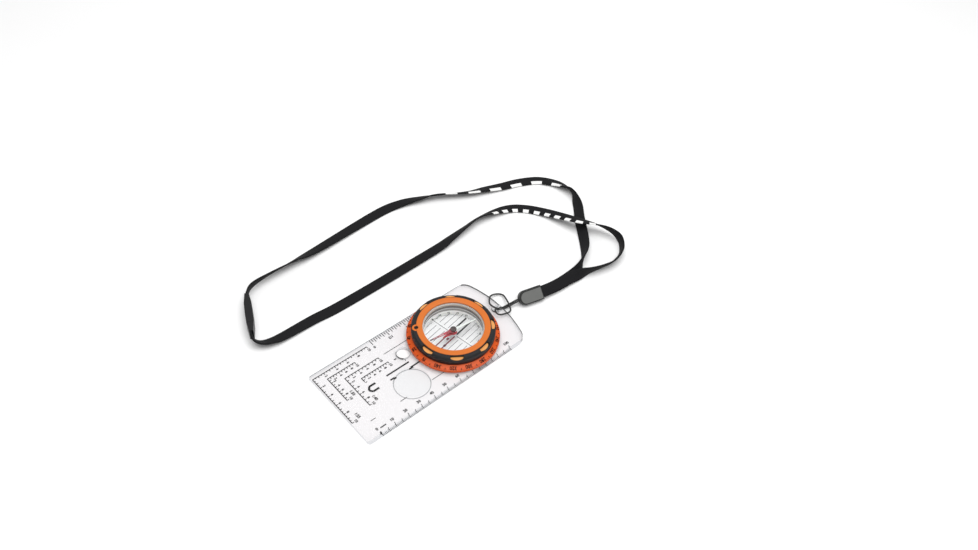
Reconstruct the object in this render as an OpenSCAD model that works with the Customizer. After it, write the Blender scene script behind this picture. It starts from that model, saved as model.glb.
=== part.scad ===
// Baseplate compass with a neck lanyard, laid out flat on a table.
// Origin: on the table under the middle of the baseplate. +Y is the direction of travel,
// +X points to the inch-scale edge, +Z is up. Millimetres.

/* [Baseplate] */
// Length of the plate along the direction of travel
plate_len = 128; // [124:1:132]
// Width of the plate
plate_w = 61; // [60.8:0.1:64]
// Thickness of the plate
plate_t = 2.5; // [2.4:0.1:2.6]
// Radius of the two rear corners
rear_corner_r = 8.5; // [6:0.5:10]
// Radius of the arc along the rear edge
rear_arc_r = 80; // [75:5:120]
// Radius of the two front corners
front_corner_r = 2; // [1:0.5:4]
// Radius of the magnifying lens moulded into the plate
lens_r = 11.2; // [9:0.1:11.5]
// Height of the lens dome above the plate
lens_h = 0.9; // [0.5:0.1:1.2]
// Radius of the pencil hole for marking a map
marking_hole_r = 4.4; // [3:0.1:4.6]
// Radius of the hole that the lanyard string is looped through
lanyard_hole_r = 2.5; // [2.4:0.1:2.6]

/* [Dial] */
// Radius of the hub that turns in the plate
hub_r = 20.93; // [20.9:0.01:20.97]
// Radius of the translucent skirt with the degree scale
skirt_r = 29.4; // [28:0.1:30]
// Outer radius of the black grip ring
grip_r = 26.4; // [26.2:0.1:26.6]
// Outer radius of the flat orange top ring
top_ring_r = 23.2; // [22.8:0.1:23.6]
// Inner radius of the flat orange top ring
window_r = 19.3; // [18.5:0.1:19.4]
// Height of the top ring above the table
dial_top = 12.4; // [12.2:0.1:13]
// How far the dial is turned anticlockwise from the direction of travel
dial_turn = 10; // [-180:1:180]

/* [Needle and clinometer] */
// Length of each half of the needle from its pivot
needle_len = 17; // [12:0.5:17.5]
// How far the needle points clockwise of the direction of travel
needle_turn = 8; // [-180:1:180]
// Length of the clinometer arrow from its pivot
clinometer_len = 8; // [6:0.5:12]
// How far the clinometer arrow points clockwise of the direction of travel
clinometer_turn = 3; // [-180:1:180]

/* [Lanyard] */
// Width of the woven ribbon
ribbon_w = 7.8; // [7:0.1:7.8]
// Thickness of the woven ribbon
ribbon_t = 1; // [0.8:0.1:1]
// Diameter of the string between the ferrule and the plate
string_d = 1.1; // [0.8:0.1:1.1]
// Length of the ferrule that joins the string to the ribbon
ferrule_len = 17; // [16.5:0.5:19]
// Width of the ferrule
ferrule_w = 9.6; // [9.4:0.1:10.5]
// Thickness of the ferrule
ferrule_t = 4.4; // [4.3:0.1:4.6]
// Length of the breakaway clip when it is closed
clip_len = 31; // [30:0.5:33]
// Height of the clip, which stands on its narrow side
clip_h = 9.2; // [9:0.1:9.3]
// Thickness of the clip at its middle
clip_t = 5; // [4.4:0.1:5.4]

/* [Hidden] */
$fn = 96;
eps = 0.01;

// Dial axis and the steps of the plate under it
dial_y = -24.25;
hub_gap = 0.07;
hub_hole_r = hub_r + hub_gap;
recess_r = 23.4;
recess_h = 1.1;
bevel_w = 1.2;
bevel_h = 1;
arc_steps = 8;
lens_at = [-12, 18];
marking_at = [9, 8.5];
lanyard_at = [0, -60];
string_groove_at = [-1, -60];
string_groove = [4.2, 8, 1.6];

// Heights of the dial's layers
skirt_bottom = plate_t + 0.25;
skirt_edge = 4.6;
skirt_top = 6;
bore_r = 19.6;
ledge_r = 18.4;
ledge_top = 2.9;
hub_bottom = 0.3;
groove_r = 20.45;
groove_z = [0.45, 0.95];
gap = 0.05;
thin_gap = 0.02;
washer_r = [23, 26.5];
disc_z = [2.95, 3.45];
disc_r = 19.4;
cup_z = [3.65, 4.2];
cup_r = 19.5;
cup_wall = 0.8;
seal_z = [9.6, 9.9];
lid_z = [9.92, 11];
ring_under = 11.3;
grip_top = 10.7;
bezel_wall_r = 21.9;
window_count = 8;
window_pitch = 360 / window_count;
window_w = 8.2;
lobe_z = [9.2, 10.6];
lobe_round_r = 6;
lobe_gap = 0.15;
sill = 0.45;
collar_top = 12.1;
collar_w = 2;
collar_wall = 0.4;
shoulder_z = 10.9;
north = 90 + dial_turn;

// Declination screw in its boss, north-east on the dial
screw_slot = 1;
screw_r = 23.2;
screw_a = north - screw_slot * window_pitch;
boss_r = 2.6;
boss_top = 12;
screw_head_r = 1.3;
screw_shaft_r = 0.8;
screw_gap = 0.05;
screw_head_z = 10.9;
wheel_r = 3.65;
wheel_z = [3, 3.5];
wheel_pocket_r = 3.8;
wheel_pocket_top = 3.6;

// Pivot, needle and clinometer
pin_r = 0.5;
pin_flange = [1.2, 5.2];
pin_tip_z = 7.6;
cap_r = [1.5, 1.95];
cap_z = [6.9, 7.9, 8.7];
cap_bore_r = 0.56;
jewel_r = 0.8;
jewel_z = [7.66, 8.3];
blade_z = 7.55;
blade_t = 0.32;
blade_half_w = 1.9;
arrow_z = 5.3;
arrow_t = 0.8;
arrow_hub_r = 2.4;

// Ferrule: its nose, and the turn and tilt of its length
nose_at = [-5.2, -75.3, 4.45];
ferrule_yaw = -104.6;
ferrule_tilt = 40;
ferrule_pocket = [9.5, 8.3, 2.7];
ferrule_bore = [10, 2.8, 1.7];
seam = 0.1;

// Clip: its middle, the turn of its length, and where its halves part
clip_at = [90.7, 66.2, clip_h / 2 + 0.05];
clip_yaw = 153;
clip_part = 8;
clip_slot = [4, 1.35, 8.1];
tongue = [9, 1.8, 5.4];
tongue_gap = 0.1;
catch_window = [2.4, 3.4, 1.6];

// Ribbon routes from the ferrule to the clip: [x, y, tilt, lift]. The ribbon lies flat at tilt 0
// and stands on an edge at 90; lift raises it above the height at which its edge rests.
ribbon_a_route = [
    [-8.6, -87, 40, 2], [-9.9, -92, 40, 2],
    [-11.4, -103, 38, 1.4], [-12, -114.5, 38, 1], [-13.8, -122.5, 62, 0.6],
    [-16, -131, 103, 0.2], [-18.5, -142, 118, 0], [-19.5, -150.5, 118, 0], [-16.5, -161, 106, 0],
    [-8.5, -168.5, 96, 0], [-1.5, -169, 74, 1.5], [5.5, -166.5, 56, 3], [11.5, -162, 38, 5],
    [19.5, -156, 20, 6.3], [32, -152, 8, 4], [45.5, -147.5, 3, 1], [58, -139, 2, 0],
    [65.5, -127.5, 10, 0], [69, -106.5, 49, 0], [68, -93, 46, 0], [66.5, -77.5, 26, 0],
    [65.5, -60, 8, 0], [65, 11.5, 0, 0], [66.2, 35, 3, 0], [66.3, 56.5, 12, 0],
    [66.9, 64.3, 22, 0], [68.6, 70.4, 34, 0.2], [71.6, 73.6, 52, 0.5], [76, 73.7, 84, 0.8],
    [79.4, 72, 90, 0.8]];
ribbon_b_route = [
    [-7.9, -87, 40, 1.1], [-9.2, -92, 40, 1.1],
    [-10.6, -103, 38, 0.4], [-10.8, -114.5, 40, 0], [-10, -125, 56, 0],
    [-6.5, -133, 86, 0], [-1, -141, 118, 0], [7.5, -149, 138, 0], [25, -162, 143, 0],
    [33.5, -169, 136, 0], [40.5, -173, 112, 0], [48, -176.5, 70, 0], [55, -177, 34, 0],
    [63.5, -175, 12, 0], [73.5, -167.5, 3, 0], [80.5, -155, 2, 0], [85, -141.5, 8, 0],
    [89.5, -129.5, 20, 0], [94, -117, 36, 0], [105.5, -97, 48, 0], [110.5, -86.5, 30, 0],
    [116, -72.5, 8, 0], [118, -53, 0, 0], [114.5, 1, 20, 0], [114, 17, 45, 0],
    [113.6, 38, 58, 0.3], [111.4, 52, 74, 0.6], [105.4, 58.7, 90, 0.8], [102, 60.4, 90, 0.8]];

// String route from the ferrule, under the plate's rear edge, up through the hole, round the
// bight that both strands lie in, and back the same way: [x, y, z]
string_route = [
    [-6.5, -78.5, 4], [-5.6, -74.8, 3.9], [-4.3, -70.5, 2.6], [-2.8, -66, 1], [-2.1, -63.4, 0.65],
    [-1.5, -61.6, 1], [-1.15, -60.4, 2.2], [-1.2, -59.2, 3.7], [-2.1, -57.8, 4.7],
    [-4, -56.7, 4.6], [-6, -57.4, 3.9], [-7.3, -60, 3.3], [-8.2, -65.4, 3.3], [-3.2, -68.4, 3.9],
    [3.9, -71.4, 2.2], [7, -71.8, 1.3], [9.2, -69.8, 1.3], [9.9, -66, 2.4], [9, -62.9, 3.1],
    [5.4, -59.4, 3.6], [2.9, -58.5, 4.1], [1.2, -59.2, 3.4], [0.6, -60.8, 1.7],
    [-0.1, -62.3, 0.75], [-0.9, -64, 0.65], [-1.7, -66.4, 1], [-3.25, -70.9, 2.9],
    [-4.72, -75, 4.62], [-5.65, -78.7, 4.75]];

// Points along an arc
function arc(c, r, a, b, steps = arc_steps) =
    [for (i = [0 : steps]) c + r * [cos(a + (b - a) * i / steps), sin(a + (b - a) * i / steps)]];

// Outline of the plate: three straight sides and a rear edge that bulges
rear_c = [0, -plate_len / 2 + rear_arc_r];
corner_x = plate_w / 2 - rear_corner_r;
corner_y = rear_c[1] - sqrt(pow(rear_arc_r - rear_corner_r, 2) - corner_x * corner_x);
rear_a = atan2(corner_y - rear_c[1], corner_x);
front_c = [plate_w / 2 - front_corner_r, plate_len / 2 - front_corner_r];
plate_outline = concat(
    arc([corner_x, corner_y], rear_corner_r, rear_a, 0),
    arc(front_c, front_corner_r, 0, 90),
    arc([-front_c[0], front_c[1]], front_corner_r, 90, 180),
    arc([-corner_x, corner_y], rear_corner_r, 180, 180 - rear_a),
    arc(rear_c, rear_arc_r, 180 - rear_a, 360 + rear_a));

// Sweeping a closed section along a route
function flat(v) = [v[0], v[1], 0];
function unit(v) = v / norm(v);
function heading(route, i) = unit(route[min(i + 1, len(route) - 1)] - route[max(i - 1, 0)]);
function ribbon_point(p) =
    [p[0], p[1], (ribbon_w * abs(sin(p[2])) + ribbon_t * abs(cos(p[2]))) / 2 + p[3]];
function ribbon_across(along, tilt) =
    cos(tilt) * [-along[1], along[0], 0] + sin(tilt) * [0, 0, 1];
ribbon_cut = 0.25;
ribbon_section = [
    [ribbon_w / 2 - ribbon_cut, ribbon_t / 2], [-ribbon_w / 2 + ribbon_cut, ribbon_t / 2],
    [-ribbon_w / 2, ribbon_t / 2 - ribbon_cut], [-ribbon_w / 2, -ribbon_t / 2 + ribbon_cut],
    [-ribbon_w / 2 + ribbon_cut, -ribbon_t / 2], [ribbon_w / 2 - ribbon_cut, -ribbon_t / 2],
    [ribbon_w / 2, -ribbon_t / 2 + ribbon_cut], [ribbon_w / 2, ribbon_t / 2 - ribbon_cut]];
string_sides = 8;
string_section = [for (k = [0 : string_sides - 1])
    string_d / 2 * [cos(360 * k / string_sides), sin(360 * k / string_sides)]];

module sweep(places, across, section) {
    n = len(section);
    last = len(places) - 1;
    points = [for (i = [0 : last]) let (
            along = heading(places, i),
            side = unit(across[i] - along * (across[i] * along)),
            up = cross(along, side))
        for (s = section) places[i] + side * s[0] + up * s[1]];
    faces = concat(
        [[for (k = [0 : n - 1]) k]],
        [for (i = [0 : last - 1]) for (k = [0 : n - 1])
            [i * n + k, (i + 1) * n + k, (i + 1) * n + (k + 1) % n]],
        [for (i = [0 : last - 1]) for (k = [0 : n - 1])
            [i * n + k, (i + 1) * n + (k + 1) % n, i * n + (k + 1) % n]],
        [[for (k = [n - 1 : -1 : 0]) last * n + k]]);
    polyhedron(points = points, faces = faces);
}

module ribbon(route) {
    places = [for (p = route) ribbon_point(p)];
    across = [for (i = [0 : len(route) - 1])
        ribbon_across(unit(flat(heading(places, i))), route[i][2])];
    sweep(places, across, ribbon_section);
}

module tube(r_out, r_in, z) {
    translate([0, 0, z[0]]) difference() {
        cylinder(r = r_out, h = z[1] - z[0]);
        translate([0, 0, -eps]) cylinder(r = r_in, h = z[1] - z[0] + 2 * eps);
    }
}

module disc(r, z) {
    translate([0, 0, z[0]]) cylinder(r = r, h = z[1] - z[0]);
}

// Places children on the dial's axis, with +X of the children along angle a
module on_dial(a = 0) {
    translate([0, dial_y, 0]) rotate([0, 0, a]) children();
}

module on_screw() {
    on_dial(screw_a) translate([screw_r, 0, 0]) children();
}

module edge_bevel(side) {
    x = side * plate_w / 2;
    translate([0, plate_len, 0]) rotate([90, 0, 0]) linear_extrude(height = 2 * plate_len)
        polygon([[x + side, plate_t + 1], [x - side * bevel_w, plate_t + 1],
            [x - side * bevel_w, plate_t], [x, plate_t - bevel_h], [x + side, plate_t - bevel_h]]);
}

module lens_dome() {
    ball_r = (lens_r * lens_r + lens_h * lens_h) / (2 * lens_h);
    translate([lens_at[0], lens_at[1], 0]) intersection() {
        translate([0, 0, plate_t - 0.5]) cylinder(r = lens_r, h = lens_h + 1);
        translate([0, 0, plate_t + lens_h - ball_r]) sphere(r = ball_r, $fn = 200);
    }
}

module baseplate() {
    color([0.93, 0.95, 0.97, 0.35]) difference() {
        union() {
            linear_extrude(height = plate_t) polygon(plate_outline);
            lens_dome();
        }
        edge_bevel(1);
        edge_bevel(-1);
        on_dial() disc(hub_hole_r, [-1, plate_t + 1]);
        on_dial() disc(recess_r, [-1, recess_h]);
        translate(lanyard_at) disc(lanyard_hole_r, [-1, plate_t + 1]);
        translate(marking_at) disc(marking_hole_r, [-1, plate_t + 1]);
        translate([string_groove_at[0] - string_groove[0] / 2,
            string_groove_at[1] - string_groove[1], -1])
            cube([string_groove[0], string_groove[1], string_groove[2] + 1]);
    }
}

module dial_ring() {
    color([0.95, 0.35, 0.12, 0.8]) difference() {
        on_dial(north) rotate_extrude() polygon([
            [ledge_r, hub_bottom], [hub_r, hub_bottom], [hub_r, groove_z[0]], [groove_r, groove_z[0]],
            [groove_r, groove_z[1]], [hub_r, groove_z[1]], [hub_r, skirt_bottom],
            [skirt_r, skirt_bottom], [skirt_r, skirt_edge], [grip_r - 0.3, skirt_top],
            [bore_r, skirt_top], [bore_r, ledge_top], [ledge_r, ledge_top]]);
        on_screw() disc(wheel_pocket_r, [skirt_bottom - gap, wheel_pocket_top]);
        on_screw() disc(screw_shaft_r + screw_gap, [skirt_bottom, skirt_top + 1]);
    }
}

module grip_ring() {
    color([0.12, 0.12, 0.13]) difference() {
        on_dial(north) rotate_extrude() polygon([
            [bezel_wall_r + gap, skirt_top + gap], [grip_r - 0.6, skirt_top + gap],
            [grip_r, skirt_top + 1], [grip_r, shoulder_z], [top_ring_r + collar_w, collar_top],
            [top_ring_r + gap, collar_top], [top_ring_r + gap, grip_top],
            [bezel_wall_r + gap, grip_top]]);
        for (k = [0 : window_count - 1]) {
            if (k != screw_slot) on_dial(north - k * window_pitch) {
                lobe(lobe_gap);
                translate([top_ring_r + collar_wall, -window_w / 2, lobe_z[1]])
                    cube([grip_r, window_w, collar_top]);
            }
        }
        on_screw() disc(boss_r + lobe_gap, [lobe_z[0] - lobe_gap, collar_top + 1]);
        on_screw() disc(screw_shaft_r + 2 * screw_gap, [skirt_top - 1, grip_top]);
    }
}

// Orange lobe that fills a window of the grip ring; play makes it the window's own shape
module lobe(play = 0) {
    z = [lobe_z[0] - play, lobe_z[1] + play];
    w = window_w - 2 * lobe_gap + 2 * play;
    intersection() {
        translate([bezel_wall_r - 1, -w / 2, z[0]]) cube([grip_r, w, z[1] - z[0]]);
        translate([grip_r - sill - lobe_round_r, 0, 0]) disc(lobe_round_r + play, z);
    }
}

module bezel_ring() {
    color([1, 0.45, 0.12]) difference() {
        union() {
            on_dial(north) rotate_extrude() polygon([
                [bore_r, skirt_top + gap], [bezel_wall_r, skirt_top + gap], [bezel_wall_r, ring_under],
                [top_ring_r, ring_under], [top_ring_r, dial_top - 0.2], [top_ring_r - 0.2, dial_top],
                [window_r, dial_top - 0.4], [window_r, lid_z[1] + gap], [bore_r, lid_z[1] + gap]]);
            for (k = [0 : window_count - 1]) {
                if (k != screw_slot) on_dial(north - k * window_pitch) lobe();
            }
            on_screw() disc(boss_r, [lobe_z[0], boss_top]);
        }
        on_dial() disc(bore_r, [skirt_top - 1, lid_z[1]]);
        on_screw() disc(screw_head_r + screw_gap, [screw_head_z - screw_gap, boss_top + 1]);
        on_screw() disc(screw_shaft_r + screw_gap, [skirt_top, boss_top]);
    }
}

module capsule_cup() {
    color([0.95, 0.97, 0.98, 0.35]) on_dial() union() {
        disc(cup_r, cup_z);
        tube(cup_r, cup_r - cup_wall, [cup_z[0], seal_z[0]]);
    }
}

module capsule_seal() {
    color([0.85, 0.85, 0.83]) on_dial() tube(cup_r, cup_r - cup_wall, seal_z);
}

module capsule_lid() {
    color([0.96, 0.98, 1, 0.3]) on_dial() disc(cup_r, lid_z);
}

module pivot_pin() {
    color([0.75, 0.75, 0.77]) on_dial() union() {
        disc(pin_flange[0], [cup_z[1], pin_flange[1]]);
        disc(pin_r, [cup_z[1], pin_tip_z - pin_r]);
        translate([0, 0, pin_tip_z - pin_r]) cylinder(r1 = pin_r, r2 = 0.1, h = pin_r);
    }
}

module retaining_ring() {
    color([0.2, 0.2, 0.22]) on_dial()
        tube(recess_r - 0.4, groove_r + gap, [groove_z[0] + gap, groove_z[1] - gap]);
}

module friction_washer() {
    color([0.9, 0.9, 0.88]) on_dial()
        tube(washer_r[1], washer_r[0], [plate_t + thin_gap, skirt_bottom - thin_gap]);
}

module orienting_disc() {
    color([0.96, 0.96, 0.98, 0.4]) on_dial() disc(disc_r, disc_z);
}

module adjusting_screw() {
    color([0.15, 0.12, 0.1]) on_screw() difference() {
        union() {
            disc(wheel_r, wheel_z);
            disc(screw_shaft_r, [wheel_z[0], screw_head_z]);
            disc(screw_head_r, [screw_head_z, boss_top + 0.1]);
        }
        translate([-2, -0.2, boss_top - 0.4]) cube([4, 0.4, 1]);
    }
}

// One side of the needle's outline, from its tip to its tail
needle_side = [[0.35, needle_len], [0.9, 3.2], [blade_half_w, 1.2],
    [blade_half_w, -1.2], [0.9, -3.2], [0.35, -needle_len]];

module needle_blade() {
    other_side = [for (i = [len(needle_side) - 1 : -1 : 0]) [-needle_side[i][0], needle_side[i][1]]];
    color([0.75, 0.1, 0.12]) on_dial(-needle_turn) translate([0, 0, blade_z])
        difference() {
            linear_extrude(height = blade_t) polygon(concat(needle_side, other_side));
            translate([0, 0, -1]) linear_extrude(height = 3)
                polygon([[-0.3, 7], [-0.2, 14.5], [0.2, 14.5], [0.3, 7]]);
            translate([0, 0, -1]) cylinder(r = cap_r[0] + 0.02, h = 3);
        }
}

module needle_cap() {
    color([0.2, 0.16, 0.15]) on_dial() difference() {
        union() {
            disc(cap_r[0], [cap_z[0], cap_z[1]]);
            disc(cap_r[1], [cap_z[1], cap_z[2]]);
        }
        disc(cap_bore_r, [cap_z[0] - 1, jewel_z[0]]);
        disc(jewel_r, [jewel_z[0] - 0.01, jewel_z[1]]);
    }
}

module needle_jewel() {
    color([0.95, 0.9, 0.9]) on_dial() disc(jewel_r - 0.01, [jewel_z[0], jewel_z[1] - 0.01]);
}

module clinometer_arrow() {
    color([0.85, 0.08, 0.12]) on_dial(-clinometer_turn) translate([0, 0, arrow_z]) difference() {
        union() {
            linear_extrude(height = arrow_t / 2) polygon([[-1.6, 0], [-0.9, 4.5],
                [-0.2, clinometer_len], [0.2, clinometer_len], [0.9, 4.5], [1.6, 0]]);
            cylinder(r = arrow_hub_r, h = arrow_t);
        }
        translate([0, 0, -1]) cylinder(r = pin_r + 0.06, h = arrow_t + 2);
    }
}

module string_loop() {
    color([0.1, 0.1, 0.1])
        sweep(string_route, [for (p = string_route) [0.05, 0.05, 1]], string_section);
}

// One shell of the ferrule: its length along +X from the nose, its outer face upwards
module ferrule_shell() {
    half = ferrule_t / 2;
    difference() {
        union() {
            translate([0, 0, seam / 2]) linear_extrude(height = half - 0.7) ferrule_outline(0);
            translate([0, 0, seam / 2]) linear_extrude(height = half - seam / 2) ferrule_outline(0.7);
        }
        translate([ferrule_len - ferrule_pocket[0], -ferrule_pocket[1] / 2, -1])
            cube([ferrule_pocket[0] + 1, ferrule_pocket[1], ferrule_pocket[2] / 2 + 1]);
        translate([-1, -ferrule_bore[1] / 2, -1])
            cube([ferrule_bore[0], ferrule_bore[1], ferrule_bore[2] / 2 + 1]);
    }
}

module ferrule_outline(inset) {
    r = ferrule_w / 2;
    union() {
        translate([r, 0]) circle(r = r - inset);
        translate([r, -r + inset]) square([ferrule_len - r - inset, 2 * (r - inset)]);
    }
}

module on_ferrule() {
    translate(nose_at) rotate([0, 0, ferrule_yaw]) rotate([ferrule_tilt, 0, 0]) children();
}

module ferrule_front() {
    color([0.45, 0.46, 0.45]) on_ferrule() ferrule_shell();
}

module ferrule_back() {
    color([0.36, 0.37, 0.36]) on_ferrule() mirror([0, 0, 1]) ferrule_shell();
}

module ribbon_a() {
    color([0.13, 0.13, 0.14]) ribbon(ribbon_a_route);
}

module ribbon_b() {
    color([0.13, 0.13, 0.14]) ribbon(ribbon_b_route);
}

module on_clip() {
    translate(clip_at) rotate([0, 0, clip_yaw]) children();
}

// Body of the clip between x0 and x1: slim at the ends and fuller in the middle
module clip_body(x0, x1) {
    half = clip_len / 2;
    end_t = 1.35;
    end_h = clip_h / 2 - 0.3;
    intersection() {
        translate([x0, -clip_t, -clip_h]) cube([x1 - x0, 2 * clip_t, 2 * clip_h]);
        translate([0, 0, -clip_h / 2]) linear_extrude(height = clip_h) polygon([
            [-half, -end_t], [-half / 2, -clip_t / 2 + 0.15], [0, -clip_t / 2],
            [half / 2, -clip_t / 2 + 0.15], [half, -end_t], [half, end_t],
            [half / 2, clip_t / 2 - 0.15], [0, clip_t / 2], [-half / 2, clip_t / 2 - 0.15],
            [-half, end_t]]);
        translate([0, clip_t, 0]) rotate([90, 0, 0]) linear_extrude(height = 2 * clip_t) polygon([
            [-half, -end_h], [-half / 2, -clip_h / 2 + 0.1], [0, -clip_h / 2],
            [half / 2, -clip_h / 2 + 0.1], [half, -end_h], [half, end_h],
            [half / 2, clip_h / 2 - 0.1], [0, clip_h / 2], [-half / 2, clip_h / 2 - 0.1],
            [-half, end_h]]);
    }
}

// Slot that a ribbon's end is held in, at the end of the clip on the given side
module ribbon_slot(side) {
    translate([side * (clip_len / 2 - clip_slot[0] / 2 + 0.5), 0, 0])
        cube([clip_slot[0] + 1, clip_slot[1], clip_slot[2]], center = true);
}

module clip_socket() {
    color([0.1, 0.1, 0.11]) on_clip() difference() {
        clip_body(-clip_len / 2, clip_part);
        ribbon_slot(-1);
        translate([clip_part - tongue[0] - tongue_gap, -tongue[1] / 2 - tongue_gap,
            -tongue[2] / 2 - tongue_gap])
            cube([tongue[0] + 1, tongue[1] + 2 * tongue_gap, tongue[2] + 2 * tongue_gap]);
        translate([catch_window[0], 0, 0])
            cube([catch_window[1], 2 * clip_t, catch_window[2]], center = true);
    }
}

module clip_plug() {
    color([0.14, 0.14, 0.15]) on_clip() difference() {
        union() {
            clip_body(clip_part + tongue_gap, clip_len / 2);
            translate([clip_part - tongue[0], -tongue[1] / 2, -tongue[2] / 2])
                cube([tongue[0] + 1, tongue[1], tongue[2]]);
        }
        ribbon_slot(1);
    }
}

baseplate();
dial_ring();
grip_ring();
bezel_ring();
capsule_cup();
capsule_seal();
capsule_lid();
pivot_pin();
retaining_ring();
friction_washer();
orienting_disc();
adjusting_screw();
needle_blade();
needle_cap();
needle_jewel();
clinometer_arrow();
string_loop();
ferrule_front();
ferrule_back();
ribbon_a();
ribbon_b();
clip_socket();
clip_plug();
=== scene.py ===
"""Looks for the baseplate compass and its neck lanyard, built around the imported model."""
import math

import bpy
from mathutils import Matrix, Vector


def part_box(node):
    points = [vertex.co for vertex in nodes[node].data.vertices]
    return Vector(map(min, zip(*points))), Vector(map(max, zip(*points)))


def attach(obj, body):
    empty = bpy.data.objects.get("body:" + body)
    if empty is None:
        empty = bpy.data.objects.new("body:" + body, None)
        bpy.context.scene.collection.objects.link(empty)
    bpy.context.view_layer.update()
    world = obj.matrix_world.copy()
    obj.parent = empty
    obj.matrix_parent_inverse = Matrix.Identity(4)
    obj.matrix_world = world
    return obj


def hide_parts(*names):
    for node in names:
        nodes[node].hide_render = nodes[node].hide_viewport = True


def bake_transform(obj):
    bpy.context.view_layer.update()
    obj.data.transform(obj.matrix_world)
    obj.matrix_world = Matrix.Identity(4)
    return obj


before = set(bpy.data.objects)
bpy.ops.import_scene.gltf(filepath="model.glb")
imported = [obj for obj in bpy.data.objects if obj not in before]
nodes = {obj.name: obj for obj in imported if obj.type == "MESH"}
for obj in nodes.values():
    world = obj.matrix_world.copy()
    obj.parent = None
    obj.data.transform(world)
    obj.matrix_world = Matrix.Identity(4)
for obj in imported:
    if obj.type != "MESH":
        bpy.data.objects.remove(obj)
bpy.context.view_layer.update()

# ---------------------------------------------------------------- sizes, in metres and degrees
MM, CM = 0.001, 0.01
DIAL_LOW, DIAL_HIGH = (Vector(c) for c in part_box("dial_ring"))
DIAL = Vector(((DIAL_LOW.x + DIAL_HIGH.x) / 2, (DIAL_LOW.y + DIAL_HIGH.y) / 2, 0))
SKIRT_R = (DIAL_HIGH.x - DIAL_LOW.x) / 2
SKIRT_SLOPE_R = 26.1 * MM
SKIRT_EDGE_Z, SKIRT_TOP_Z = 4.6 * MM, DIAL_HIGH.z
LIP_R = 19.75 * MM
LOBE_R, LOBE_TOP_Z = 23.3 * MM, 10.7 * MM
# At rest: the dial's north, anticlockwise from +X, and the needle's, clockwise from +Y
DIAL_NORTH = 100
NEEDLE_TURN = 8
# Along the needle's north half
NEEDLE_PALE, NEEDLE_TIP = (5 * MM, 11 * MM), 14.8 * MM
CUP_WALL_R, CUP_WALL_Z, CUP_WALL_RISE = 18.6 * MM, 4 * MM, 6 * MM
CUP_FLOOR_Z = 4.2 * MM
ORIENTING_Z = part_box("orienting_disc")[1][2]
INK_LIFT = 0.02 * MM
PLATE_INK_Z = 0.06 * MM
FLOOR_GAP = 0.2 * MM
# Least |Z| of the normal on a flat face, and greatest on an upright one
FLAT, UPRIGHT = 0.99998, 0.9

# Nose of the ferrule, and its own axes: along it, across it and out of its upper face
FERRULE_NOSE = (-5.2 * MM, -75.3 * MM, 4.45 * MM)
FERRULE_LONG = (-0.252, -0.968, 0)
FERRULE_ACROSS = (0.742, -0.193, 0.643)
FERRULE_UP = (-0.622, 0.162, 0.766)
# The ferrule's panel: how far it lies to one side, its round end's middle and radius, its height
PANEL_SIDE, PANEL_MIDDLE, PANEL_R, PANEL_UP = 0.5 * MM, 5.1 * MM, 3.9 * MM, 1.95 * MM

RIBBON_W, RIBBON_T = 7.8 * MM, 1 * MM
RIBBON_CORNER = 0.22 * MM
STRING_R, STRING_SIDES = 0.55 * MM, 12
SMOOTH_STEPS = 8
# White blocks, in centimetres along the ribbon: first, last, period and share that is white
MARKS_A = (10.85, 18.95, 0.84, 0.52)
MARKS_B = (12.7, 21.8, 1.65, 0.52)

# Routes as in part.scad: ribbons as (x, y, tilt, lift), the string as (x, y, z)
RIBBON_A = [
    (-0.0086, -0.087, 40, 0.002), (-0.0099, -0.092, 40, 0.002), (-0.0114, -0.103, 38, 0.0014),
    (-0.012, -0.1145, 38, 0.001), (-0.0138, -0.1225, 62, 0.0006), (-0.016, -0.131, 103, 0.0002),
    (-0.0185, -0.142, 118, 0), (-0.0195, -0.1505, 118, 0), (-0.0165, -0.161, 106, 0),
    (-0.0085, -0.1685, 96, 0), (-0.0015, -0.169, 74, 0.0015), (0.0055, -0.1665, 56, 0.003),
    (0.0115, -0.162, 38, 0.005), (0.0195, -0.156, 20, 0.0063), (0.032, -0.152, 8, 0.004),
    (0.0455, -0.1475, 3, 0.001), (0.058, -0.139, 2, 0), (0.0655, -0.1275, 10, 0),
    (0.069, -0.1065, 49, 0), (0.068, -0.093, 46, 0), (0.0665, -0.0775, 26, 0),
    (0.0655, -0.06, 8, 0), (0.065, 0.0115, 0, 0), (0.0662, 0.035, 3, 0), (0.0663, 0.0565, 12, 0),
    (0.0669, 0.0643, 22, 0), (0.0686, 0.0704, 34, 0.0002), (0.0716, 0.0736, 52, 0.0005),
    (0.076, 0.0737, 84, 0.0008), (0.0794, 0.072, 90, 0.0008),
]
RIBBON_B = [
    (-0.0079, -0.087, 40, 0.0011), (-0.0092, -0.092, 40, 0.0011), (-0.0106, -0.103, 38, 0.0004),
    (-0.0108, -0.1145, 40, 0), (-0.01, -0.125, 56, 0), (-0.0065, -0.133, 86, 0),
    (-0.001, -0.141, 118, 0), (0.0075, -0.149, 138, 0), (0.025, -0.162, 143, 0),
    (0.0335, -0.169, 136, 0), (0.0405, -0.173, 112, 0), (0.048, -0.1765, 70, 0),
    (0.055, -0.177, 34, 0), (0.0635, -0.175, 12, 0), (0.0735, -0.1675, 3, 0),
    (0.0805, -0.155, 2, 0), (0.085, -0.1415, 8, 0), (0.0895, -0.1295, 20, 0),
    (0.094, -0.117, 36, 0), (0.1055, -0.097, 48, 0), (0.1105, -0.0865, 30, 0),
    (0.116, -0.0725, 8, 0), (0.118, -0.053, 0, 0), (0.1145, 0.001, 20, 0), (0.114, 0.017, 45, 0),
    (0.1136, 0.038, 58, 0.0003), (0.1114, 0.052, 74, 0.0006), (0.1054, 0.0587, 90, 0.0008),
    (0.102, 0.0604, 90, 0.0008),
]
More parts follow.
